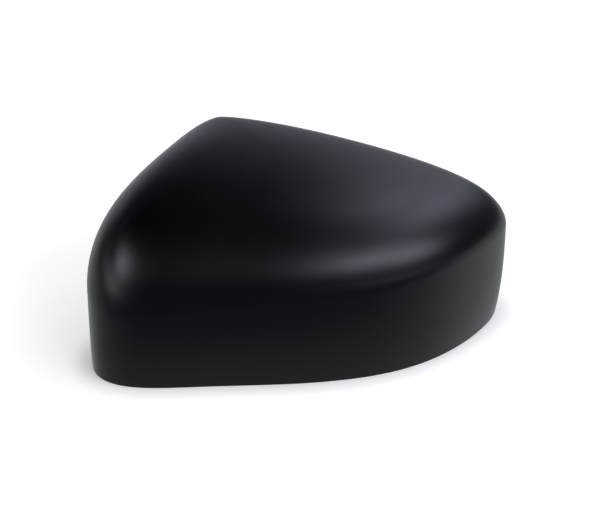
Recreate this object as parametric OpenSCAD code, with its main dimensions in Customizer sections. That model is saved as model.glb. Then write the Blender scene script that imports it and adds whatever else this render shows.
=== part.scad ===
// Wing mirror cover: one moulded shell, resting on its rim with the round side up.
// X runs along the length, Y from the near wall to the far side, Z is up. Millimetres.
// The origin is at the middle of the rim plane.

/* [Overall] */
// length of the cover along X
cover_l = 240; // [200:1:280]
// width of the cover along Y
cover_w = 168.5; // [150:0.5:190]
// wall thickness of the moulding
wall_t = 2.5; // [2:0.1:3]
// reach of the rolled edge, seen from above
edge_r = 21; // [16:0.5:21.5]
// angle that the rolled edge turns through before it eases into the roof
edge_turn = 60; // [55:1:70]
// height of the rolled edge at the left end
edge_h_left = 48.2; // [38:0.1:54]
// height of the rolled edge at the right end
edge_h_right = 19.4; // [16:0.1:26]

/* [Roof] */
// height of the roof over the far left corner of the frame
roof_h = 106.6; // [95:0.1:116]
// how much lower the roof is over the near left corner
fall_near_left = 21.8; // [12:0.1:30]
// how much lower the roof is over the near right corner
fall_near_right = 51.3; // [42:0.1:56]
// how much lower the roof is over the far right corner
fall_far_right = 38.3; // [28:0.1:44]
// rise of the roof in the middle of its length
crown_l = 13; // [4:0.1:18]
// rise of the roof in the middle of its width
crown_w = 13; // [4:0.1:18]
// how much the roof rounds down towards its borders
roof_soft = 0; // [0:0.1:3]

/* [Walls] */
// how far the wall draws in to the rim at the left end
tuck_left = 0.7; // [0:0.1:3]
// how far the wall draws in to the rim at the right end
tuck_right = 3.7; // [2:0.1:7]
// how sharply the wall bends in near the rim at the left end
tuck_bend_left = 4.5; // [2:0.1:6]
// how sharply the wall bends in near the rim at the right end
tuck_bend_right = 3; // [1.5:0.1:4]
// thickness of the thinner lip at the rim
lip_t = 1.6; // [1.2:0.1:2]
// height of the thinner lip at the rim
lip_h = 3; // [2:0.1:5]

/* [Rim ribs] */
// number of spacer ribs round the inside of the rim
rib_n = 28; // [14:7:42]
// thickness of a spacer rib
rib_t = 1.6; // [1:0.1:2.4]
// reach of a spacer rib from the middle of the wall
rib_d = 4.2; // [3:0.1:6]
// height of a spacer rib
rib_h = 12; // [8:0.5:18]

/* [Snap hooks] */
// number of snap hooks round the inside of the rim
hook_n = 7; // [4:1:7]
// width of a snap hook along the wall
hook_w = 11; // [8:0.5:14]
// thickness of the tongue and of its arm
hook_t = 2.2; // [1.6:0.1:3]
// distance from the middle of the wall to the back of the tongue
hook_gap = 6; // [5:0.1:8]
// height of the underside of the arm above the rim
hook_arm_z = 18; // [15:0.5:24]
// height of the tip of the tongue above the rim
hook_tip_z = 4; // [3:0.5:8]
// depth of the barb on the tongue
barb_d = 1.8; // [1:0.1:2.5]
// height of the barb from the tip to its catching face
barb_h = 4.5; // [3:0.1:6]
// height of the gussets over the arm
gusset_h = 9; // [6:0.5:14]

/* [Locating pegs] */
// diameter of a locating peg
peg_d = 6; // [4:0.1:7]
// length of a peg below its shoulder
peg_l = 14; // [8:0.5:20]
// height of the shoulders above the rim
shoulder_z = 34; // [26:0.5:45]
// diameter of the boss over a peg
boss_d = 8; // [7.5:0.1:8.5]
// reach of the webs from the axis of a boss
web_reach = 15; // [10:0.5:20]
// thickness of the webs and of the roof ribs
web_t = 1.8; // [1.2:0.1:2.4]
// depth of the roof ribs below the inside of the roof
roof_rib_h = 5; // [3:0.5:8]

/* [Hidden] */
around = 112;
wall_steps = 4;
edge_steps = 7;
crown_steps = 7;
// smallest radius of the inner skin at the outline's tightest corner
corner_r = 0.5;
// control points of the widest outline, as shares of the length and the width
outline_shares = [
  [-0.499, -0.167], [-0.509, -0.402], [-0.410, -0.518], [-0.217, -0.486],
  [-0.011, -0.483], [0.196, -0.428], [0.350, -0.288], [0.470, -0.065],
  [0.526, 0.134], [0.416, 0.295], [0.159, 0.379], [-0.109, 0.497],
  [-0.301, 0.521], [-0.359, 0.199]
];

// pegs as shares of the length and the width
peg_shares = [[-0.31, -0.24], [0.17, -0.17], [-0.13, 0.24]];

// smooth closed curve through the soft corners
function frac(t) = t - floor(t);
function ctrl(i) =
  let (n = len(outline_shares), p = outline_shares[(i + n) % n])
  [p[0] * cover_l, p[1] * cover_w];
function blend(i, f) =
  (pow(1 - f, 3) * ctrl(i - 1) + (3 * pow(f, 3) - 6 * f * f + 4) * ctrl(i)
  + (-3 * pow(f, 3) + 3 * f * f + 3 * f + 1) * ctrl(i + 1) + pow(f, 3) * ctrl(i + 2)) / 6;
function slope(i, f) =
  (-pow(1 - f, 2) * ctrl(i - 1) + (3 * f * f - 4 * f) * ctrl(i)
  + (-3 * f * f + 2 * f + 1) * ctrl(i + 1) + f * f * ctrl(i + 2)) / 2;
function bend(i, f) =
  (1 - f) * ctrl(i - 1) + (3 * f - 2) * ctrl(i) + (1 - 3 * f) * ctrl(i + 1) + f * ctrl(i + 2);
function inward(i, f) = let (s = slope(i, f)) [-s[1], s[0]] / norm(s);
function turn_r(i, f) =
  let (s = slope(i, f), b = bend(i, f))
  pow(norm(s), 3) / max(0.001, s[0] * b[1] - s[1] * b[0]);

steps = [for (k = [0 : around - 1]) k / around * len(outline_shares)];
line = [for (t = steps) blend(floor(t), frac(t))];
inner_way = [for (t = steps) inward(floor(t), frac(t))];
middle = [for (a = [0 : 1]) [for (p = line) p[a]] * [for (p = line) 1] / around];
// the rolled edge and the skin under it fit into the outline's tightest corner
tightest = min([for (t = steps) turn_r(floor(t), frac(t))]);
edge_reach = min(edge_r, tightest - wall_t * cos(edge_turn) - corner_r);
// half-width of the ellipse that the rolled edge is a part of
edge_oval = edge_reach / (1 - cos(edge_turn));
// length in which the roof's last rounding fades out, inside the rolled edge
ease_l = edge_oval * (1 - sin(edge_turn)) * tan(edge_turn);

// roof height over any point of the plan
function roof(p) =
  let (u = p[0] / cover_l + 0.5, v = p[1] / cover_w + 0.5)
  roof_h - fall_near_left * (1 - u) * (1 - v) - fall_near_right * u * (1 - v)
  - fall_far_right * u * v
  + crown_l * (1 - pow(2 * u - 1, 2)) + crown_w * (1 - pow(2 * v - 1, 2))
  - roof_soft * pow(pow(2 * u - 1, 2) + pow(2 * v - 1, 2), 2);

// height of the rolled edge and of the plain wall under it, at a point of the outline
function share(p) = max(0, p[0] / cover_l + 0.5);
function edge_h(p) = edge_h_left + (edge_h_right - edge_h_left) * share(p);
function wall_top(p) = roof(p) - edge_h(p);

// how far the wall lies inside the widest outline at a height
function tuck(p, z) =
  (tuck_left + (tuck_right - tuck_left) * pow(share(p), 2))
  * pow(1 - min(1, z / wall_top(p)), tuck_bend_left + (tuck_bend_right - tuck_bend_left) * share(p));

// one ring of a skin: walls, edge and roof, each set inward by the same depth
function wall_ring(z, inset) = [for (i = [0 : around - 1])
  let (p = line[i] + inner_way[i] * (tuck(line[i], z) + inset)) [p[0], p[1], z]];
function wall_ring_at(f, inset) = [for (i = [0 : around - 1])
  let (z = lip_h + f * (wall_top(line[i]) - lip_h))
  let (p = line[i] + inner_way[i] * (tuck(line[i], z) + inset)) [p[0], p[1], z]];
function edge_ring(a, inset) = [for (i = [0 : around - 1])
  let (p = line[i] + inner_way[i] * (edge_oval - (edge_oval - inset) * cos(a)))
  [p[0], p[1], roof(p) - inset - (edge_h(line[i]) - inset) * (1 - sin(a))]];
function crown_ring(f, inset) = [for (i = [0 : around - 1])
  let (e = line[i] + inner_way[i] * (edge_oval - (edge_oval - inset) * cos(edge_turn)))
  let (p = e + (middle - e) * f)
  let (fade = exp(-f * (middle - e) * inner_way[i] / ease_l))
  [p[0], p[1], roof(p) - inset - (edge_h(line[i]) - inset) * (1 - sin(edge_turn)) * fade]];
function pole(inset) = [middle[0], middle[1], roof(middle) - inset];

// height of the middle of the roof's wall over any point inside the rolled edge
function mid_roof(p) =
  let (far = min([for (q = line) norm(p - q)]) - edge_reach)
  roof(p) - wall_t / 2 - edge_h(p) * (1 - sin(edge_turn)) * exp(-max(0, far) / ease_l);

// from the outer pole down the outside, over the rim and up the inside
rings = concat(
  [for (k = [crown_steps - 1 : -1 : 1]) crown_ring(pow(k / crown_steps, 2), 0)],
  [for (k = [edge_steps : -1 : 0]) edge_ring(edge_turn * k / edge_steps, 0)],
  [for (k = [wall_steps - 1 : -1 : 0]) wall_ring_at(k / wall_steps, 0)],
  [wall_ring(0, 0), wall_ring(0, lip_t), wall_ring(lip_h, lip_t)],
  [for (k = [0 : wall_steps - 1]) wall_ring_at(k / wall_steps, wall_t)],
  [for (k = [0 : edge_steps]) edge_ring(edge_turn * k / edge_steps, wall_t)],
  [for (k = [1 : crown_steps - 1]) crown_ring(pow(k / crown_steps, 2), wall_t)]
);

// length along the outline, to space what stands round the rim
next_len = [for (i = [0 : around - 1]) norm(line[(i + 1) % around] - line[i])];
run = [for (i = 0, s = 0; i <= around; s = s + next_len[i % around], i = i + 1) s];
round_l = run[around];
function along(tab, a, s) =
  lookup(s, [for (i = [0 : around]) [run[i], tab[i % around][a]]]);
function spot(s) = [along(line, 0, s), along(line, 1, s)];
function facing(s) = atan2(along(inner_way, 1, s), along(inner_way, 0, s));

module shell() {
  flat = [for (r = rings) for (p = r) p];
  last = len(rings) - 1;
  top = len(flat);
  under = top + 1;
  polyhedron(
    points = concat(flat, [pole(0), pole(wall_t)]),
    faces = concat(
      [for (i = [0 : around - 1]) [top, (i + 1) % around, i]],
      [for (r = [0 : last - 1]) for (i = [0 : around - 1])
        let (a = r * around + i, b = r * around + (i + 1) % around) [a, b, b + around]],
      [for (r = [0 : last - 1]) for (i = [0 : around - 1])
        let (a = r * around + i, b = r * around + (i + 1) % around) [a, b + around, a + around]],
      [for (i = [0 : around - 1]) [under, last * around + i, last * around + (i + 1) % around]]
    ),
    convexity = 8
  );
}

// a plate standing on the wall, drawn as its side view: inward reach and height
module on_wall(s, z, thick) {
  p = spot(s);
  root = tuck(p, z) + wall_t / 2;
  translate([p[0], p[1], 0])
    rotate([0, 0, facing(s)])
      translate([root, thick / 2, 0])
        rotate([90, 0, 0])
          linear_extrude(height = thick) children();
}

module spacer_rib(s) {
  low = lip_h + 0.5;
  on_wall(s, low + rib_h / 2, rib_t)
    polygon([[0, low], [rib_d, low + 1], [rib_d, low + rib_h - rib_d], [0, low + rib_h]]);
}

module snap_hook(s) {
  back = hook_gap;
  front = hook_gap + hook_t;
  arm_top = hook_arm_z + hook_t;
  mid_z = hook_arm_z + hook_t / 2;
  on_wall(s, mid_z, hook_w)
    polygon([
      [0, hook_arm_z], [back, hook_arm_z], [back, hook_tip_z + 1], [back + 1, hook_tip_z],
      [front, hook_tip_z], [front + barb_d, hook_tip_z + barb_h - barb_d], [front, hook_tip_z + barb_h],
      [front, arm_top], [0, arm_top]
    ]);
  for (side = [-1, 1])
    on_wall(s + side * (hook_w - rib_t) / 2, mid_z + gusset_h / 2, rib_t)
      polygon([
        [0, hook_arm_z], [front - 0.5, hook_arm_z + 0.5],
        [front - 0.5, arm_top + 1], [0, arm_top + gusset_h]
      ]);
}

// a plate hung from the roof between two points of the plan, its top inside the roof
module hung_rib(a, b, drop) {
  way = b - a;
  cuts = 5;
  function at(k) = a + way * k / cuts;
  translate([a[0], a[1], 0])
    rotate([0, 0, atan2(way[1], way[0])])
      translate([0, web_t / 2, 0])
        rotate([90, 0, 0])
          linear_extrude(height = web_t)
            polygon(concat(
              [for (k = [0 : cuts]) [norm(way) * k / cuts, mid_roof(at(k))]],
              [for (k = [cuts : -1 : 0]) [norm(way) * k / cuts, mid_roof(at(k)) - wall_t / 2 - drop]]
            ));
}

module web(p, a) {
  way = [cos(a), sin(a)] * web_reach;
  translate([p[0], p[1], 0])
    rotate([0, 0, a])
      translate([0, web_t / 2, 0])
        rotate([90, 0, 0])
          linear_extrude(height = web_t)
            polygon([
              [-web_reach, mid_roof(p - way)], [0, mid_roof(p)],
              [web_reach, mid_roof(p + way)], [web_reach, mid_roof(p + way) - wall_t / 2 - 2],
              [boss_d / 2 + 1, shoulder_z + 3], [boss_d / 2, shoulder_z + 0.5],
              [-boss_d / 2, shoulder_z + 0.5], [-boss_d / 2 - 1, shoulder_z + 3],
              [-web_reach, mid_roof(p - way) - wall_t / 2 - 2]
            ]);
}

module locating_peg(p) {
  top = mid_roof(p);
  rise_x = mid_roof(p + [0.5, 0]) - mid_roof(p - [0.5, 0]);
  rise_y = mid_roof(p + [0, 0.5]) - mid_roof(p - [0, 0.5]);
  difference() {
    translate([p[0], p[1], shoulder_z])
      cylinder(d = boss_d, h = top + boss_d / 2 - shoulder_z, $fn = 48);
    // the boss ends in the middle of the roof's wall, along its slope
    translate([p[0], p[1], top])
      rotate([atan(rise_y), -atan(rise_x), 0])
        translate([-boss_d, -boss_d, 0])
          cube([2 * boss_d, 2 * boss_d, 2 * boss_d]);
  }
  translate([p[0], p[1], shoulder_z - peg_l])
    cylinder(d = peg_d, h = peg_l + 2, $fn = 48);
  for (a = [0, 90])
    web(p, a);
}

module mirror_cover() {
  gap = round_l / rib_n;
  pegs = [for (p = peg_shares) [p[0] * cover_l, p[1] * cover_w]];
  color("#202126") {
    shell();
    for (k = [0 : rib_n - 1])
      spacer_rib(k * gap);
    for (k = [0 : hook_n - 1])
      snap_hook((floor(k * rib_n / hook_n) + 0.5) * gap);
    for (p = pegs)
      locating_peg(p);
    for (k = [0 : len(pegs) - 1])
      hung_rib(pegs[k], pegs[(k + 1) % len(pegs)], roof_rib_h);
  }
}

mirror_cover();
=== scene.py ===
import logging
import math
from dataclasses import dataclass
from enum import Enum
from typing import Iterable, Optional, Sequence

import bmesh
import bpy
from mathutils import Euler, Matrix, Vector


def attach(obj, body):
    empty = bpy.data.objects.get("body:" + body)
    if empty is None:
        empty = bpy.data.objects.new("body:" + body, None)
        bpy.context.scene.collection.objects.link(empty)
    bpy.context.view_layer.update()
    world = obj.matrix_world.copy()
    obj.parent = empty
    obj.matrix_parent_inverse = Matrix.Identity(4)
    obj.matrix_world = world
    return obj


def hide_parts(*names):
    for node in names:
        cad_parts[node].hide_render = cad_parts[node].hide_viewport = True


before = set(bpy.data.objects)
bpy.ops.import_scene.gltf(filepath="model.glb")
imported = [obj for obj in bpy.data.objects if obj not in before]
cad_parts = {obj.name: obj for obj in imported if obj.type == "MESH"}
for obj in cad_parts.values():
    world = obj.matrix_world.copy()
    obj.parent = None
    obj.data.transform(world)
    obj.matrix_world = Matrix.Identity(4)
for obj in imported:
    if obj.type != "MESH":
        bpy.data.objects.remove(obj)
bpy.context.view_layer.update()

logging.basicConfig(level=logging.INFO, format="%(message)s")
LOG = logging.getLogger("mirror_cover")

MM = 0.001
PHOTO_WIDTH = 608  # pixels

Point2 = tuple[float, float]
Colour = tuple[float, float, float, float]


# ---------------------------------------------------------------- small helpers

def srgb(code: str) -> Colour:
    """Turns an sRGB hex colour into a linear one.

    Args:
        code: six hex digits, such as "1a1b20".

    Returns:
        Linear red, green, blue and an alpha of 1.
    """
    parts = [int(code[i:i + 2], 16) / 255 for i in (0, 2, 4)]
    r, g, b = (p / 12.92 if p <= 0.04045 else ((p + 0.055) / 1.055) ** 2.4 for p in parts)
    return (r, g, b, 1.0)


def add_node(tree: bpy.types.NodeTree, kind: str, inputs: Optional[dict] = None,
             **settings: object) -> bpy.types.Node:
    """Adds one node with its settings, values and links.

    Args:
        tree: the tree that gets the node.
        kind: the node's type name.
        inputs: value or source socket for each input, by name or number.
        **settings: properties of the node itself.

    Returns:
        The new node.
    """
    node = tree.nodes.new(kind)
    for name, value in settings.items():
        setattr(node, name, value)
    for key, value in (inputs or {}).items():
        if isinstance(value, bpy.types.NodeSocket):
            tree.links.new(value, node.inputs[key])
        else:
            node.inputs[key].default_value = value
    return node


class Field:
    """A number or vector that a geometry tree works out at every point."""

    def __init__(self, tree: bpy.types.NodeTree, socket: bpy.types.NodeSocket) -> None:
        """Wraps an output socket of a tree."""
        self.tree = tree
        self.socket = socket

    def math(self, operation: str, *others: "Field | float") -> "Field":
        """Adds a Math node.

        Args:
            operation: the node's operation.
            *others: what the operation takes after this value.

        Returns:
            The result.
        """
        inputs = {i: as_input(value) for i, value in enumerate((self, *others))}
        node = add_node(self.tree, "ShaderNodeMath", inputs, operation=operation)
        return Field(self.tree, node.outputs[0])

    def __add__(self, other: "Field | float") -> "Field":
        """Returns the sum."""
        return self.math("ADD", other)

    def __sub__(self, other: "Field | float") -> "Field":
        """Returns the difference."""
        return self.math("SUBTRACT", other)

    def __mul__(self, other: "Field | float") -> "Field":
        """Returns the product."""
        return self.math("MULTIPLY", other)

    def __truediv__(self, other: "Field | float") -> "Field":
        """Returns the quotient."""
        return self.math("DIVIDE", other)

    def __rsub__(self, other: float) -> "Field":
        """Returns a number less this value."""
        inputs = {0: float(other), 1: self.socket}
        node = add_node(self.tree, "ShaderNodeMath", inputs, operation="SUBTRACT")
        return Field(self.tree, node.outputs[0])

    def clamp(self) -> "Field":
        """Returns the value kept between 0 and 1."""
        node = add_node(self.tree, "ShaderNodeClamp", {"Value": self.socket})
        return Field(self.tree, node.outputs[0])

    def mix(self, low: "Field", high: "Field") -> "Field":
        """Mixes two values by this one.

        Args:
            low: the result where this value is 0.
            high: the result where this value is 1.

        Returns:
            The mixed value.
        """
        return self * (high - low) + low


def as_input(value: Field | float) -> bpy.types.NodeSocket | float:
    """Returns what a node's input takes for a value: a socket or a plain number."""
    return value.socket if isinstance(value, Field) else float(value)


def total(values: Iterable[Field]) -> Field:
    """Returns the sum of at least one value."""
    first, *others = values
    return sum(others, start=first)


def split(tree: bpy.types.NodeTree, vector: bpy.types.NodeSocket) -> tuple[Field, Field, Field]:
    """Splits a vector socket.

    Args:
        tree: the tree that the socket is in.
        vector: the vector.

    Returns:
        Its X, Y and Z.
    """
    node = add_node(tree, "ShaderNodeSeparateXYZ", {0: vector})
    return tuple(Field(tree, node.outputs[i]) for i in range(3))


def joined(tree: bpy.types.NodeTree, x: Field | float, y: Field | float,
           z: Field | float) -> bpy.types.NodeSocket:
    """Joins three values into a vector socket.

    Args:
        tree: the tree that the values are in.
        x: first part.
        y: second part.
        z: third part.

    Returns:
        The vector's socket.
    """
    parts = {i: as_input(value) for i, value in enumerate((x, y, z))}
    return add_node(tree, "ShaderNodeCombineXYZ", parts).outputs[0]


def new_object(name: str, mesh: bpy.types.Mesh) -> bpy.types.Object:
    """Puts a mesh into the scene under a name."""
    obj = bpy.data.objects.new(name, mesh)
    bpy.context.scene.collection.objects.link(obj)
    return obj


def volume(mesh: bpy.types.Mesh) -> float:
    """Returns the signed volume inside a mesh."""
    bm = bmesh.new()
    bm.from_mesh(mesh)
    size = bm.calc_volume(signed=True)
    bm.free()
    return size


def turn_outwards(mesh: bpy.types.Mesh) -> None:
    """Flips a closed mesh whose faces point inwards."""
    if volume(mesh) < 0:
        mesh.flip_normals()


def add_plate(bm: bmesh.types.BMesh, side: Sequence[Point2], thick: float,
              start: Vector = Vector((0, 0)), way: Vector = Vector((1, 0))) -> None:
    """Adds an upright plate, given by its side view, to a mesh.

    Args:
        bm: the mesh.
        side: length and height of each corner, in millimetres.
        thick: the plate's thickness, in millimetres.
        start: the place on the plan where the side view has its zero.
        way: unit vector along the plate.
    """
    across = Vector((-way.y, way.x)) * thick / 2
    rings = []
    for sign in (-1, 1):
        places = [(start + way * s + across * sign, z) for s, z in side]
        rings.append([bm.verts.new((p.x * MM, p.y * MM, z * MM)) for p, z in places])
    left, right = rings
    bm.faces.new(left)
    bm.faces.new(right[::-1])
    for i in range(len(side)):
        j = (i + 1) % len(side)
        bm.faces.new((left[j], left[i], right[i], right[j]))


def bake_nodes(name: str, tree: bpy.types.NodeTree,
               values: dict[str, object]) -> bpy.types.Object:
    """Runs a geometry tree once and keeps its result as a plain mesh.

    Args:
        name: the new piece's name.
        tree: the geometry tree.
        values: a value for each named input.

    Returns:
        The finished piece.
    """
    carrier = new_object(name + "_maker", bpy.data.meshes.new(name + "_maker"))
    modifier = carrier.modifiers.new("maker", "NODES")
    modifier.node_group = tree
    ids = {i.name: i.identifier for i in tree.interface.items_tree
           if i.item_type == "SOCKET" and i.in_out == "INPUT"}
    for key, value in values.items():
        modifier[ids[key]] = value
    graph = bpy.context.evaluated_depsgraph_get()
    mesh = bpy.data.meshes.new_from_object(carrier.evaluated_get(graph), depsgraph=graph)
    carrier.modifiers.remove(modifier)
    bpy.data.objects.remove(carrier)
    mesh.name = name
    turn_outwards(mesh)
    return new_object(name, mesh)


class SocketKind(Enum):
    """The kinds of named input that the trees here have."""

    FLOAT = "NodeSocketFloat"
    INT = "NodeSocketInt"
    OBJECT = "NodeSocketObject"
    MATERIAL = "NodeSocketMaterial"


def new_tree(name: str,
             inputs: dict[str, SocketKind]) -> tuple[bpy.types.NodeTree, bpy.types.Node]:
    """Starts a geometry tree.

    Args:
        name: the tree's name.
        inputs: the kind of each named input.

    Returns:
        The tree and its input node.
    """
    tree = bpy.data.node_groups.new(name, "GeometryNodeTree")
    for key, kind in inputs.items():
        tree.interface.new_socket(name=key, in_out="INPUT", socket_type=kind.value)
    tree.interface.new_socket(name="Geometry", in_out="OUTPUT", socket_type="NodeSocketGeometry")
    return tree, tree.nodes.new("NodeGroupInput")


# ---------------------------------------------------------------- finish

@dataclass(frozen=True)
class MouldedAbs:
    """Moulded ABS, self-coloured black, from a finely spark-textured tool.

    The texture spreads every reflection into a soft, slightly milky sheen with no clear edge,
    so the face reads as deep blue-black in shade and as dull grey where a lamp is reflected.
    """

    colour: str = "010306"
    worn_colour: str = "03060a"
    roughness: float = 0.30
    rough_spread: float = 0.02
    grain_mm: float = 0.9
    grain_deep_mm: float = 0.06
    grain_strength: float = 0.12
    cloud_mm: float = 35.0

    def build(self) -> bpy.types.Material:
        """Makes the material.

        Returns:
            The material.
        """
        mat = bpy.data.materials.new("moulded_black_abs")
        mat.use_nodes = True
        tree = mat.node_tree
        tree.nodes.clear()
        place = add_node(tree, "ShaderNodeTexCoord").outputs["Object"]
        # The tool's pits are about 0.1 mm wide, too fine for a pixel of 0.6 mm, so they are drawn
        # at 0.9 mm. To the eye they break up the sheen into a dry, even grain.
        grain = add_node(tree, "ShaderNodeTexNoise",
                         {"Vector": place, "Scale": 1 / (self.grain_mm * MM), "Detail": 3.0,
                          "Roughness": 0.6})
        # Broad, very faint clouds come from the melt's flow and from handling. They keep large
        # faces from looking all of one tone.
        clouds = add_node(tree, "ShaderNodeTexNoise",
                          {"Vector": place, "Scale": 1 / (self.cloud_mm * MM), "Detail": 4.0,
                           "Roughness": 0.55})
        tint = add_node(tree, "ShaderNodeMix", {"Factor": clouds.outputs["Fac"]}, data_type="RGBA")
        tint.inputs["A"].default_value = srgb(self.colour)
        tint.inputs["B"].default_value = srgb(self.worn_colour)
        rough = add_node(tree, "ShaderNodeMapRange",
                         {"Value": clouds.outputs["Fac"], "From Min": 0.3, "From Max": 0.7,
                          "To Min": self.roughness - self.rough_spread,
                          "To Max": self.roughness + self.rough_spread})
        bump = add_node(tree, "ShaderNodeBump",
                        {"Height": grain.outputs["Fac"], "Strength": self.grain_strength,
                         "Distance": self.grain_deep_mm * MM})
        skin = add_node(tree, "ShaderNodeBsdfPrincipled",
                        {"Base Color": tint.outputs["Result"], "Roughness": rough.outputs["Result"],
                         "Normal": bump.outputs["Normal"], "IOR": 1.5, "Specular IOR Level": 0.4})
        add_node(tree, "ShaderNodeOutputMaterial", {"Surface": skin.outputs["BSDF"]})
        return mat


# ---------------------------------------------------------------- form

@dataclass
class CoverForm:
    """The cover's own rule of form, with the same sizes as the construction.

    Lengths are in millimetres, the turn is in degrees and the bends are exponents. The corners
    are shares of the length and the width.
    """

    length: float = 240.0
    width: float = 168.5
    wall: float = 2.5
    edge: float = 21.0
    edge_turn: float = 60.0
    edge_left: float = 48.2
    edge_right: float = 19.4
    roof_high: float = 106.6
    fall_near_left: float = 21.8
    fall_near_right: float = 51.3
    fall_far_right: float = 38.3
    crown_length: float = 13.0
    crown_width: float = 13.0
    tuck_left: float = 0.7
    tuck_right: float = 3.7
    bend_left: float = 4.5
    bend_right: float = 3.0
    lip: float = 1.6
    lip_height: float = 3.0
    curve_points: int = 700
    near_points: int = 112
    corners: Sequence[Point2] = (
        (-0.499, -0.167), (-0.509, -0.402), (-0.410, -0.518), (-0.217, -0.486), (-0.011, -0.483),
        (0.196, -0.428), (0.350, -0.288), (0.470, -0.065), (0.526, 0.134), (0.416, 0.295),
        (0.159, 0.379), (-0.109, 0.497), (-0.301, 0.521), (-0.359, 0.199))

    def corner(self, index: int) -> Vector:
        """Returns a soft corner of the widest outline."""
        x, y = self.corners[index % len(self.corners)]
        return Vector((x * self.length, y * self.width))

    def outline(self, count: int) -> list[Vector]:
        """Follows the widest outline.

        Args:
            count: number of points.

        Returns:
            The points, against the clock seen from above.
        """
        points = []
        for k in range(count):
            t = k / count * len(self.corners)
            i, f = int(t), t - int(t)
            weights = ((1 - f) ** 3, 3 * f ** 3 - 6 * f * f + 4,
                       -3 * f ** 3 + 3 * f * f + 3 * f + 1, f ** 3)
            parts = (self.corner(i - 1 + n) * w for n, w in enumerate(weights))
            points.append(sum(parts, Vector((0, 0))) / 6)
        return points

    def middle(self) -> Vector:
        """Returns the point of the plan where the roof's rings close."""
        count = len(self.corners)
        return sum((self.corner(i) for i in range(count)), Vector((0, 0))) / count

    def roof(self, x: float, y: float) -> float:
        """Returns the roof's height over a point of the plan."""
        u, v = x / self.length + 0.5, y / self.width + 0.5
        bow_u, bow_v = (2 * u - 1) ** 2, (2 * v - 1) ** 2
        return (self.roof_high - self.fall_near_left * (1 - u) * (1 - v)
                - self.fall_near_right * u * (1 - v) - self.fall_far_right * u * v
                + self.crown_length * (1 - bow_u) + self.crown_width * (1 - bow_v))

    def edge_oval(self) -> float:
        """Returns the half-width of the ellipse that the rolled edge is a part of."""
        return self.edge / (1 - math.cos(math.radians(self.edge_turn)))

    def ease(self) -> float:
        """Returns the length in which the roof's last rounding fades out."""
        turn = math.radians(self.edge_turn)
        return self.edge_oval() * (1 - math.sin(turn)) * math.tan(turn)

    def mid_roof(self, place: Vector) -> float:
        """Works out the height of the middle of the roof's wall.

        Args:
            place: a point of the plan inside the rolled edge.

        Returns:
            The height.
        """
        far = min((place - p).length for p in self.outline(self.near_points)) - self.edge
        share = max(0.0, place.x / self.length + 0.5)
        high = self.edge_left + (self.edge_right - self.edge_left) * share
        rounding = high * (1 - math.sin(math.radians(self.edge_turn)))
        faded = rounding * math.exp(-max(0.0, far) / self.ease())
        return self.roof(place.x, place.y) - self.wall / 2 - faded

    def outline_curve(self) -> bpy.types.Object:
        """Makes the widest outline as a closed curve object.

        Returns:
            The curve, which the geometry trees follow.
        """
        curve = bpy.data.curves.new("cover_outline", "CURVE")
        curve.dimensions = "3D"
        points = self.outline(self.curve_points)
        spline = curve.splines.new("POLY")
        spline.points.add(len(points) - 1)
        for slot, p in zip(spline.points, points):
            slot.co = (p.x * MM, p.y * MM, 0, 1)
        spline.use_cyclic_u = True
        obj = bpy.data.objects.new("cover_outline", curve)
        bpy.context.scene.collection.objects.link(obj)
        return obj

    def sizes(self) -> dict[str, float]:
        """Returns the sizes that the trees take: lengths in metres, the turn in radians."""
        centre = self.middle()
        lengths = {
            "Length": self.length, "Width": self.width, "Wall": self.wall,
            "Oval": self.edge_oval(), "Ease": self.ease(), "Edge Left": self.edge_left,
            "Edge Right": self.edge_right, "Roof High": self.roof_high,
            "Fall Near Left": self.fall_near_left, "Fall Near Right": self.fall_near_right,
            "Fall Far Right": self.fall_far_right, "Crown Length": self.crown_length,
            "Crown Width": self.crown_width, "Tuck Left": self.tuck_left,
            "Tuck Right": self.tuck_right, "Lip": self.lip, "Lip Height": self.lip_height,
            "Middle X": centre.x, "Middle Y": centre.y}
        sizes = {key: value * MM for key, value in lengths.items()}
        sizes.update({"Edge Turn": math.radians(self.edge_turn), "Bend Left": self.bend_left,
                      "Bend Right": self.bend_right})
        return sizes


class OutlineWalk:
    """Samples the outline curve inside a geometry tree."""

    def __init__(self, tree: bpy.types.NodeTree, outline: bpy.types.NodeSocket,
                 factor: Field) -> None:
        """Adds the nodes that follow the outline.

        Args:
            tree: the geometry tree.
            outline: the socket with the outline object.
            factor: how far round each point lies, from 0 to 1.
        """
        info = add_node(tree, "GeometryNodeObjectInfo", {"Object": outline},
                        transform_space="ORIGINAL")
        walk = add_node(tree, "GeometryNodeSampleCurve",
                        {"Curves": info.outputs["Geometry"], "Factor": factor.socket},
                        mode="FACTOR", use_all_curves=True)
        self.x, self.y, _ = split(tree, walk.outputs["Position"])
        along_x, along_y, _ = split(tree, walk.outputs["Tangent"])
        self.in_x, self.in_y = along_y * -1.0, along_x


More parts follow.
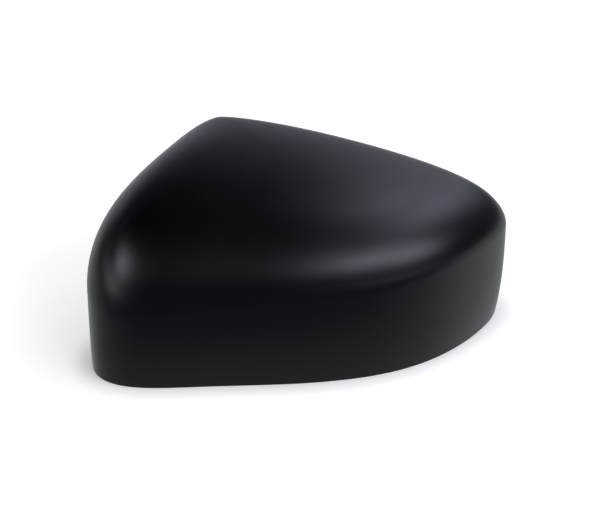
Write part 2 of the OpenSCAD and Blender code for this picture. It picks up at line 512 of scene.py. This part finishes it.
@dataclass
class Shell:
    """The moulded shell: walls, rolled edge and domed roof, outside and inside, as one closed skin.

    The rows run from the pole outside over the rim to the pole inside. The shares of them that
    lie in the rim, the wall and the rolled edge are counted from the rim to a pole.
    """

    form: CoverForm
    around: int = 384
    rows: int = 120
    rim_rows: float = 0.009
    wall_rows: float = 0.34
    edge_rows: float = 0.32
    neighbours: int = 3
    spread: float = 0.02
    evened_from: float = 0.12

    def tree(self) -> bpy.types.NodeTree:
        """Builds the geometry tree that bends a grid into the shell.

        Returns:
            The tree.
        """
        names = {key: SocketKind.FLOAT for key in self.form.sizes()}
        names.update({"Outline": SocketKind.OBJECT, "Around": SocketKind.INT,
                      "Rows": SocketKind.INT, "Plastic": SocketKind.MATERIAL})
        tree, start = new_tree("moulded_shell", names)
        size = {key: Field(tree, start.outputs[key]) for key in self.form.sizes()}
        grid = add_node(tree, "GeometryNodeMeshGrid",
                        {"Size X": 1.0, "Size Y": 1.0, "Vertices X": start.outputs["Rows"],
                         "Vertices Y": start.outputs["Around"]})
        row, turn, _ = split(tree, grid.outputs["UV Map"])
        walk = OutlineWalk(tree, start.outputs["Outline"], turn)
        inside = row.math("GREATER_THAN", 0.5)
        from_rim = (row * 2.0 - 1.0).math("ABSOLUTE")
        rise = ((from_rim - self.rim_rows) / (1 - self.rim_rows)).clamp()
        wall_part = (rise / self.wall_rows).clamp()
        roll = ((rise - self.wall_rows) / self.edge_rows).clamp() * size["Edge Turn"]
        cap_from = self.wall_rows + self.edge_rows
        cap = ((rise - cap_from) / (1 - cap_from)).clamp()
        cap = cap * cap
        share = (walk.x / size["Length"] + 0.5).clamp()
        edge_high = share.mix(size["Edge Left"], size["Edge Right"])
        wall_top = self.roof(size, walk.x, walk.y) - edge_high
        above_lip = (wall_part * wall_top).math("GREATER_THAN", size["Lip Height"])
        inset = inside * above_lip.mix(size["Lip"], size["Wall"])
        draw = (share * share).mix(size["Tuck Left"], size["Tuck Right"])
        bend = share.mix(size["Bend Left"], size["Bend Right"])
        tuck = draw * (1.0 - wall_part).math("POWER", bend)
        depth = tuck + inset + (size["Oval"] - inset) * (1.0 - roll.math("COSINE"))
        x = walk.x + walk.in_x * depth
        y = walk.y + walk.in_y * depth
        x = cap.mix(x, size["Middle X"])
        y = cap.mix(y, size["Middle Y"])
        # Past the rolled edge, what is left of its drop fades out towards the middle. It is evened
        # out between neighbouring ways inward, so that no crease runs in from the tight corners.
        fades = []
        for step in range(-self.neighbours, self.neighbours + 1):
            near = walk if step == 0 else OutlineWalk(
                tree, start.outputs["Outline"], (turn + step * self.spread).math("FRACT"))
            left_over = ((size["Middle X"] - near.x - near.in_x * depth) * near.in_x
                         + (size["Middle Y"] - near.y - near.in_y * depth) * near.in_y)
            fades.append((cap * left_over / size["Ease"] * -1.0).math("EXPONENT"))
        reach = self.neighbours + 1
        even = total(fade * ((reach - abs(k - self.neighbours)) / reach ** 2)
                     for k, fade in enumerate(fades))
        fade = (cap / self.evened_from).clamp().mix(fades[self.neighbours], even)
        drop = inset + (edge_high - inset) * (1.0 - roll.math("SINE")) * fade
        z = wall_part * (self.roof(size, x, y) - drop)
        bent = add_node(tree, "GeometryNodeSetPosition",
                        {"Geometry": grid.outputs["Mesh"], "Position": joined(tree, x, y, z)})
        closed = add_node(tree, "GeometryNodeMergeByDistance",
                          {"Geometry": bent.outputs[0], "Distance": 1e-6})
        smooth = add_node(tree, "GeometryNodeSetShadeSmooth", {"Geometry": closed.outputs[0]})
        real = add_node(tree, "GeometryNodeRealizeInstances", {"Geometry": smooth.outputs[0]})
        done = add_node(tree, "GeometryNodeSetMaterial",
                        {"Geometry": real.outputs[0], "Material": start.outputs["Plastic"]})
        add_node(tree, "NodeGroupOutput", {"Geometry": done.outputs[0]})
        return tree

    @staticmethod
    def roof(size: dict[str, Field], x: Field, y: Field) -> Field:
        """Works out the roof's height in the tree.

        Args:
            size: the tree's sizes.
            x: place along the length.
            y: place along the width.

        Returns:
            The height.
        """
        u, v = x / size["Length"] + 0.5, y / size["Width"] + 0.5
        near_fall = (1.0 - v) * u.mix(size["Fall Near Left"], size["Fall Near Right"])
        fall = near_fall + v * u * size["Fall Far Right"]
        off_u, off_v = u * 2.0 - 1.0, v * 2.0 - 1.0
        return (size["Roof High"] - fall + size["Crown Length"] * (1.0 - off_u * off_u)
                + size["Crown Width"] * (1.0 - off_v * off_v))

    def build(self, outline: bpy.types.Object, plastic: bpy.types.Material) -> bpy.types.Object:
        """Makes the shell.

        Args:
            outline: the outline curve.
            plastic: the material.

        Returns:
            The finished piece.
        """
        values: dict[str, object] = dict(self.form.sizes())
        values.update({"Outline": outline, "Around": self.around + 1,
                       "Rows": 2 * self.rows + 1, "Plastic": plastic})
        shell = bake_nodes("cover_shell", self.tree(), values)
        shell.data.set_sharp_from_angle(angle=math.radians(40))
        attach(shell, "root")
        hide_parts("mirror_cover")
        return shell


@dataclass
class RimFittings:
    """What stands round the inside of the rim: spacer ribs and snap hooks, in millimetres.

    The two shares say at what part of the wall's height the wall's draw is taken.
    """

    form: CoverForm
    ribs: int = 28
    rib_share: float = 0.18
    rib_clear: float = 0.5
    rib_soften: float = 0.25
    rib_thick: float = 1.6
    rib_reach: float = 4.2
    rib_high: float = 12.0
    hooks: int = 7
    hook_share: float = 0.38
    hook_soften: float = 0.2
    hook_wide: float = 11.0
    hook_thick: float = 2.2
    hook_gap: float = 6.0
    arm_height: float = 18.0
    tip_height: float = 4.0
    barb: float = 1.8
    barb_high: float = 4.5
    gusset: float = 9.0
    gusset_back: float = 0.5
    chamfer: float = 1.0
    wall_sizes: Sequence[str] = ("Wall", "Length", "Tuck Left", "Tuck Right", "Bend Left",
                                 "Bend Right")

    def tree(self) -> bpy.types.NodeTree:
        """Builds the geometry tree that sets copies of a piece round the wall.

        Returns:
            The tree.
        """
        names = {key: SocketKind.FLOAT for key in ("First", "Height Share", *self.wall_sizes)}
        names["Count"] = SocketKind.INT
        tree, start = new_tree("round_the_rim", {
            "Outline": SocketKind.OBJECT, "Piece": SocketKind.OBJECT,
            "Plastic": SocketKind.MATERIAL, **names})
        get = {key: Field(tree, start.outputs[key]) for key in names}
        line = add_node(tree, "GeometryNodeMeshLine", {"Count": start.outputs["Count"]})
        index = Field(tree, add_node(tree, "GeometryNodeInputIndex").outputs[0])
        turn = (index + get["First"]) / get["Count"]
        walk = OutlineWalk(tree, start.outputs["Outline"], turn)
        share = (walk.x / get["Length"] + 0.5).clamp()
        draw = (share * share).mix(get["Tuck Left"], get["Tuck Right"])
        bend = share.mix(get["Bend Left"], get["Bend Right"])
        root = draw * (1.0 - get["Height Share"]).math("POWER", bend) + get["Wall"] / 2.0
        place = joined(tree, walk.x + walk.in_x * root, walk.y + walk.in_y * root, 0.0)
        spots = add_node(tree, "GeometryNodeSetPosition",
                         {"Geometry": line.outputs["Mesh"], "Position": place})
        facing = walk.in_y.math("ARCTAN2", walk.in_x)
        piece = add_node(tree, "GeometryNodeObjectInfo", {"Object": start.outputs["Piece"]},
                         transform_space="ORIGINAL")
        copies = add_node(tree, "GeometryNodeInstanceOnPoints",
                          {"Points": spots.outputs[0], "Instance": piece.outputs["Geometry"],
                           "Rotation": joined(tree, 0.0, 0.0, facing)})
        real = add_node(tree, "GeometryNodeRealizeInstances", {"Geometry": copies.outputs[0]})
        done = add_node(tree, "GeometryNodeSetMaterial",
                        {"Geometry": real.outputs[0], "Material": start.outputs["Plastic"]})
        add_node(tree, "NodeGroupOutput", {"Geometry": done.outputs[0]})
        return tree

    @staticmethod
    def pattern(name: str, bm: bmesh.types.BMesh, soften: float) -> bpy.types.Object:
        """Turns a mesh into the hidden pattern that the tree copies.

        Args:
            name: the pattern's name.
            bm: the mesh, which is used up.
            soften: radius of its edges, in millimetres.

        Returns:
            The pattern's object.
        """
        bmesh.ops.recalc_face_normals(bm, faces=bm.faces)
        bmesh.ops.bevel(bm, geom=bm.edges[:], offset=soften * MM, segments=2, affect="EDGES",
                        profile=0.5)
        mesh = bpy.data.meshes.new(name)
        bm.to_mesh(mesh)
        bm.free()
        return new_object(name, mesh)

    def rib(self) -> bpy.types.Object:
        """Makes one spacer rib.

        Returns:
            The pattern's object.
        """
        low = self.form.lip_height + self.rib_clear
        top = low + self.rib_high
        bm = bmesh.new()
        add_plate(bm, ((0, low), (self.rib_reach, low + self.chamfer),
                       (self.rib_reach, top - self.rib_reach), (0, top)), self.rib_thick)
        return self.pattern("spacer_rib_pattern", bm, self.rib_soften)

    def hook(self) -> bpy.types.Object:
        """Makes one snap hook with its two gussets.

        Returns:
            The pattern's object.
        """
        back, front = self.hook_gap, self.hook_gap + self.hook_thick
        arm, tip = self.arm_height, self.tip_height
        top = arm + self.hook_thick
        barb_top, inner = tip + self.barb_high, front - self.gusset_back
        bm = bmesh.new()
        add_plate(bm, ((0, arm), (back, arm), (back, tip + self.chamfer),
                       (back + self.chamfer, tip), (front, tip),
                       (front + self.barb, barb_top - self.barb), (front, barb_top),
                       (front, top), (0, top)), self.hook_wide)
        for side in (-1, 1):
            off = Vector((0, side * (self.hook_wide - self.rib_thick) / 2))
            add_plate(bm, ((0, arm), (inner, arm + self.gusset_back),
                           (inner, top + self.chamfer), (0, top + self.gusset)),
                      self.rib_thick, off)
        return self.pattern("snap_hook_pattern", bm, self.hook_soften)

    def build(self, outline: bpy.types.Object,
              plastic: bpy.types.Material) -> list[bpy.types.Object]:
        """Makes the ribs and the hooks.

        Args:
            outline: the outline curve.
            plastic: the material.

        Returns:
            The finished pieces.
        """
        tree = self.tree()
        sizes = self.form.sizes()
        made = []
        for name, pattern, count, first, height in (
                ("spacer_ribs", self.rib(), self.ribs, 0.0, self.rib_share),
                ("snap_hooks", self.hook(), self.hooks, 0.5 * self.hooks / self.ribs,
                 self.hook_share)):
            values: dict[str, object] = {key: sizes[key] for key in self.wall_sizes}
            values.update({"Outline": outline, "Piece": pattern, "Count": count, "First": first,
                           "Height Share": height, "Plastic": plastic})
            piece = bake_nodes(name, tree, values)
            bpy.data.objects.remove(pattern)
            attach(piece, "root")
            made.append(piece)
        return made


@dataclass
class RoofFittings:
    """What hangs from the roof: locating pegs on webbed bosses, joined by ribs, in millimetres."""

    form: CoverForm
    peg_across: float = 6.0
    peg_long: float = 14.0
    peg_chamfer: float = 0.8
    shoulder: float = 34.0
    boss_across: float = 8.0
    boss_chamfer: float = 0.3
    web_reach: float = 15.0
    web_thick: float = 1.8
    web_drop: float = 2.0
    web_foot: float = 0.5
    web_slope: float = 3.0
    web_step: float = 1.0
    rib_drop: float = 5.0
    rib_cuts: int = 8
    places: Sequence[Point2] = ((-0.31, -0.24), (0.17, -0.17), (-0.13, 0.24))

    def spots(self) -> list[Vector]:
        """Returns the pegs' places on the plan."""
        return [Vector((x * self.form.length, y * self.form.width)) for x, y in self.places]

    @staticmethod
    def turned(bm: bmesh.types.BMesh, centre: Vector, outline: Sequence[Point2], lean: Vector,
               count: int = 48) -> None:
        """Adds a turned solid to a mesh.

        Args:
            bm: the mesh.
            centre: its axis on the plan.
            outline: radius and height, from the bottom up, with radius 0 at both ends.
            lean: rise of the topmost ring along X and along Y.
            count: number of sides.
        """
        rings = []
        for r, z in outline:
            if r == 0:
                rings.append([bm.verts.new((centre.x * MM, centre.y * MM, z * MM))])
                continue
            slope = lean if z == outline[-1][1] else lean * 0
            ring = []
            for k in range(count):
                angle = 2 * math.pi * k / count
                out = Vector((math.cos(angle), math.sin(angle))) * r
                place = centre + out
                ring.append(bm.verts.new((place.x * MM, place.y * MM, (z + slope.dot(out)) * MM)))
            rings.append(ring)
        for low, high in zip(rings, rings[1:]):
            for k in range(count):
                n = (k + 1) % count
                corners = [low[k % len(low)], low[n % len(low)],
                           high[n % len(high)], high[k % len(high)]]
                kept = [v for i, v in enumerate(corners) if v not in corners[:i]]
                bm.faces.new(kept)

    def peg(self, bm: bmesh.types.BMesh, place: Vector) -> None:
        """Adds one peg on its boss, up to the middle of the roof's wall.

        Args:
            bm: the mesh.
            place: the peg's place on the plan.
        """
        r, b, foot = self.peg_across / 2, self.boss_across / 2, self.shoulder - self.peg_long
        top = self.form.mid_roof(place)
        halves = Vector((0.5, 0)), Vector((0, 0.5))
        lean = Vector([self.form.mid_roof(place + half) - self.form.mid_roof(place - half)
                       for half in halves])
        self.turned(bm, place, (
            (0, foot), (r - self.peg_chamfer, foot), (r, foot + self.peg_chamfer),
            (r, self.shoulder), (b - self.boss_chamfer, self.shoulder),
            (b, self.shoulder + self.boss_chamfer), (b, top), (0, top)), lean)

    def webs(self, bm: bmesh.types.BMesh, place: Vector) -> None:
        """Adds the two crossed webs of a boss.

        Args:
            bm: the mesh.
            place: the boss's place on the plan.
        """
        b, reach = self.boss_across / 2, self.web_reach
        foot, bend = self.shoulder + self.web_foot, self.shoulder + self.web_slope
        under = self.form.wall / 2 + self.web_drop
        for way in (Vector((1, 0)), Vector((0, 1))):
            low, top, high = (self.form.mid_roof(place + way * s) for s in (-reach, 0, reach))
            add_plate(bm, (
                (-reach, low), (0, top), (reach, high), (reach, high - under),
                (b + self.web_step, bend), (b, foot), (-b, foot), (-b - self.web_step, bend),
                (-reach, low - under)), self.web_thick, place, way)

    def roof_rib(self, bm: bmesh.types.BMesh, start: Vector, end: Vector) -> None:
        """Adds the low rib that joins two bosses under the roof.

        Args:
            bm: the mesh.
            start: the first boss's place on the plan.
            end: the second boss's place on the plan.
        """
        way = (end - start).normalized()
        steps = [(end - start).length * k / self.rib_cuts for k in range(self.rib_cuts + 1)]
        tops = [self.form.mid_roof(start + way * s) for s in steps]
        drop = self.form.wall / 2 + self.rib_drop
        side = list(zip(steps, tops)) + [(s, z - drop) for s, z in zip(steps[::-1], tops[::-1])]
        add_plate(bm, side, self.web_thick, start, way)

    def build(self, plastic: bpy.types.Material) -> bpy.types.Object:
        """Makes the pegs, webs and roof ribs as one piece.

        Args:
            plastic: the material.

        Returns:
            The finished piece.
        """
        bm = bmesh.new()
        spots = self.spots()
        for place in spots:
            self.peg(bm, place)
            self.webs(bm, place)
        for start, end in zip(spots, spots[1:] + spots[:1]):
            self.roof_rib(bm, start, end)
        bmesh.ops.recalc_face_normals(bm, faces=bm.faces)
        mesh = bpy.data.meshes.new("pegs_and_webs")
        bm.to_mesh(mesh)
        bm.free()
        mesh.shade_smooth()
        mesh.set_sharp_from_angle(angle=math.radians(30))
        mesh.materials.append(plastic)
        piece = new_object("pegs_and_webs", mesh)
        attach(piece, "root")
        return piece


# ---------------------------------------------------------------- studio

@dataclass(frozen=True)
class SoftWindow:
    """A brighter patch of the room with a soft border, such as a curtained window gives.

    Its place is given by its turn, clockwise from straight behind the cover, and its rise, both
    in degrees. Wide and high are the sines of the half-angles at which it has faded to about a
    third, and lean turns it in its own plane, in degrees.
    """

    turn: float
    rise: float
    wide: float
    high: float
    strength: float
    colour: str
    lean: float = 0.0

    def axes(self) -> tuple[Vector, Vector, Vector]:
        """Works out its directions.

        Returns:
            The direction towards it, and those along its width and its height.
        """
        turn, rise, lean = (math.radians(a) for a in (self.turn, self.rise, self.lean))
        towards = Vector((math.sin(turn) * math.cos(rise), math.cos(turn) * math.cos(rise),
                          math.sin(rise)))
        level = Vector((math.cos(turn), -math.sin(turn), 0))
        upright = towards.cross(level)
        if upright.z < 0:
            upright = -upright
        return (towards, level * math.cos(lean) + upright * math.sin(lean),
                upright * math.cos(lean) - level * math.sin(lean))

    def light(self, tree: bpy.types.NodeTree, way: bpy.types.NodeSocket) -> bpy.types.NodeSocket:
        """Adds its light to a world's tree.

        Args:
            tree: the world's tree.
            way: the direction that is looked in.

        Returns:
            The colour that it gives in that direction.
        """
        towards, along, up = self.axes()
        parts = []
        for axis in (towards, along / self.wide, up / self.high):
            dot = add_node(tree, "ShaderNodeVectorMath", {0: way, 1: axis}, operation="DOT_PRODUCT")
            parts.append(Field(tree, dot.outputs["Value"]))
        front, across, over = parts
        faded = ((across * across + over * over) * -1.0).math("EXPONENT")
        glow = faded * front.math("GREATER_THAN", 0.0) * self.strength
        tint = add_node(tree, "ShaderNodeVectorMath",
                        {0: srgb(self.colour)[:3], "Scale": glow.socket}, operation="SCALE")
        return tint.outputs["Vector"]


@dataclass
class Studio:
    """The pale floor, the soft windows, the soft box and the camera of the photograph.

    Distances, the aims and the box's size are in metres, the lens is in millimetres. The floor's
    glow is what the camera sees of it besides its own light; it is darkened in nooks of the given
    reach, which paints a contact shadow. For all other rays the floor is a glowing sheet, a painted
    reflection, that turns from painted shade in front to painted light behind, from a line across
    the floor, over a given depth.
    """

    elevation: float = 25.0
    distance: float = 0.984
    aim: tuple[float, float, float] = (-0.00165, 0.0009, 0.0443)
    lens: float = 99.42
    shift: Point2 = (4.15 / PHOTO_WIDTH, -2.26 / PHOTO_WIDTH)
    floor_half: float = 6.0
    paper: str = "fffaf2"
    glow: float = 0.62
    # Reach of the painted contact shadow on the floor's glow.
    painted_shadow_reach: float = 0.016
    # Colours of the glowing sheet, a painted reflection: painted shade in front, painted light
    # behind.
    painted_reflection_front: str = "565d6e"
    painted_reflection_back: str = "cad1d3"
    turns_at: float = -0.168438
    turns_over: float = 0.134
    box_away: float = 1.3
    box_aim: Sequence[float] = (0, 0, 0.05)
    box_size: Point2 = (0.6, 0.35)
    box_power: float = 0.8
    windows: Sequence[SoftWindow] = (
        SoftWindow(111.0, 33.8, 0.299, 0.124, 4.84, "eceeff", -8.3),
        SoftWindow(141.3, 35.9, 0.321, 0.105, 6.91, "eceeff", -24.6),
        SoftWindow(60.5, 45.3, 0.51, 0.124, 3.04, "e2eaff", 33.0),
        SoftWindow(39.6, 52.7, 0.466, 0.122, 2.15, "e9e9ff", 51.7),
        SoftWindow(-21.2, 11.7, 0.602, 0.295, 0.68, "e9eaff", 14.0),
        SoftWindow(-84.6, 39.3, 0.289, 0.493, 0.2, "e9eaff", -33.7),
        SoftWindow(-126.3, 2.2, 0.47, 0.08, 4.44, "f4f2ff", 18.3),
        SoftWindow(-135.8, 25.1, 0.214, 0.157, 6.28, "edf6ff", -1.9),
        SoftWindow(139.2, -4.2, 0.455, 0.154, 2.42, "e0e6ff", -11.1))

    def camera(self) -> None:
        """Makes the camera at the photograph's angle."""
        data = bpy.data.cameras.new("photo_camera")
        data.sensor_width = 36.0
        data.lens = self.lens
        data.shift_x, data.shift_y = self.shift
        data.clip_start, data.clip_end = 0.01, 50
        e = math.radians(self.elevation)
        camera = bpy.data.objects.new("photo_camera", data)
        camera.location = Vector(self.aim) + self.distance * Vector((0, -math.cos(e), math.sin(e)))
        camera.rotation_euler = Euler((math.radians(90 - self.elevation), 0, 0))
        bpy.context.scene.collection.objects.link(camera)
        bpy.context.scene.camera = camera

    def soft_box(self) -> None:
        """Adds the soft box, which stands in line with the first window."""
        window = self.windows[0]
        data = bpy.data.lights.new("right_box", "AREA")
        data.shape = "RECTANGLE"
        data.size, data.size_y = self.box_size
        data.energy = self.box_power
        data.color = srgb(window.colour)[:3]
        lamp = bpy.data.objects.new("right_box", data)
        lamp.location = window.axes()[0] * self.box_away
        way = Vector(self.box_aim) - lamp.location
        lamp.rotation_euler = way.to_track_quat("-Z", "Y").to_euler()
        bpy.context.scene.collection.objects.link(lamp)

    def floor(self) -> None:
        """Makes the white paper that the cover lies on.

        The camera sees the paper and the cover's shadow on it: real shadow from the lamps and the
        room, with a painted contact shadow where the paper's added glow is darkened in nooks. All
        other rays see a glowing sheet instead, a painted reflection with painted light behind the
        cover and painted shade in front.
        """
        bm = bmesh.new()
        bmesh.ops.create_grid(bm, x_segments=1, y_segments=1, size=self.floor_half)
        mesh = bpy.data.meshes.new("paper_floor")
        bm.to_mesh(mesh)
        bm.free()
        floor = new_object("paper_floor", mesh)
        mat = bpy.data.materials.new("white_paper")
        mat.use_nodes = True
        tree = mat.node_tree
        tree.nodes.clear()
        paper = add_node(tree, "ShaderNodeBsdfDiffuse", {"Color": srgb(self.paper)})
        # Painted contact shadow: ambient occlusion darkens the glow that the camera sees near the
        # cover.
        painted_shadow_ao = add_node(tree, "ShaderNodeAmbientOcclusion", {"Distance": self.painted_shadow_reach},
                        samples=16)
        glow = Field(tree, painted_shadow_ao.outputs["AO"]) * self.glow
        white = add_node(tree, "ShaderNodeEmission",
                         {"Color": srgb("ffffff"), "Strength": glow.socket})
        sheet = add_node(tree, "ShaderNodeAddShader", {0: paper.outputs[0], 1: white.outputs[0]})
        # Painted reflection: for every ray but the camera's the floor glows, with painted shade in
        # front and painted light behind.
        _, depth, _ = split(tree, add_node(tree, "ShaderNodeTexCoord").outputs["Object"])
        back = ((depth - self.turns_at) / self.turns_over).clamp()
        shade = add_node(tree, "ShaderNodeMix", {"Factor": back.socket}, data_type="RGBA")
        shade.inputs["A"].default_value = srgb(self.painted_reflection_front)
        shade.inputs["B"].default_value = srgb(self.painted_reflection_back)
        painted_reflection = add_node(tree, "ShaderNodeEmission",
                            {"Color": shade.outputs["Result"], "Strength": 1.0})
        seen = add_node(tree, "ShaderNodeLightPath")
        both = add_node(tree, "ShaderNodeMixShader",
                        {0: seen.outputs["Is Camera Ray"], 1: painted_reflection.outputs[0],
                         2: sheet.outputs[0]})
        add_node(tree, "ShaderNodeOutputMaterial", {"Surface": both.outputs[0]})
        mesh.materials.append(mat)

    def world(self) -> None:
        """Makes the surroundings: white to the camera, a room with soft windows to the cover."""
        world = bpy.data.worlds.new("room_with_windows")
        bpy.context.scene.world = world
        world.use_nodes = True
        tree = world.node_tree
        tree.nodes.clear()
        way = add_node(tree, "ShaderNodeTexCoord").outputs["Generated"]
        first, *others = (window.light(tree, way) for window in self.windows)
        lit = first
        for light in others:
            lit = add_node(tree, "ShaderNodeVectorMath", {0: lit, 1: light},
                           operation="ADD").outputs["Vector"]
        room = add_node(tree, "ShaderNodeBackground", {"Color": lit, "Strength": 1.0})
        white = add_node(tree, "ShaderNodeBackground",
                         {"Color": srgb("ffffff"), "Strength": 1.0})
        seen = add_node(tree, "ShaderNodeLightPath")
        both = add_node(tree, "ShaderNodeMixShader",
                        {0: seen.outputs["Is Camera Ray"], 1: room.outputs[0], 2: white.outputs[0]})
        add_node(tree, "ShaderNodeOutputWorld", {"Surface": both.outputs[0]})

    def build(self) -> None:
        """Makes the whole studio."""
        self.camera()
        self.floor()
        self.world()
        self.soft_box()


def main() -> None:
    """Builds the cover and its studio, and reports each piece."""
    bpy.context.scene.view_settings.view_transform = "Standard"
    plastic = MouldedAbs().build()
    form = CoverForm()
    outline = form.outline_curve()
    pieces = [Shell(form).build(outline, plastic)]
    pieces += RimFittings(form).build(outline, plastic)
    pieces.append(RoofFittings(form).build(plastic))
    bpy.data.objects.remove(outline)
    for piece in pieces:
        LOG.info("%s: %d faces, %.1f cm3", piece.name, len(piece.data.polygons),
                 volume(piece.data) * 1e6)
    Studio().build()
    bpy.context.view_layer.update()


if __name__ == "__main__":
    main()
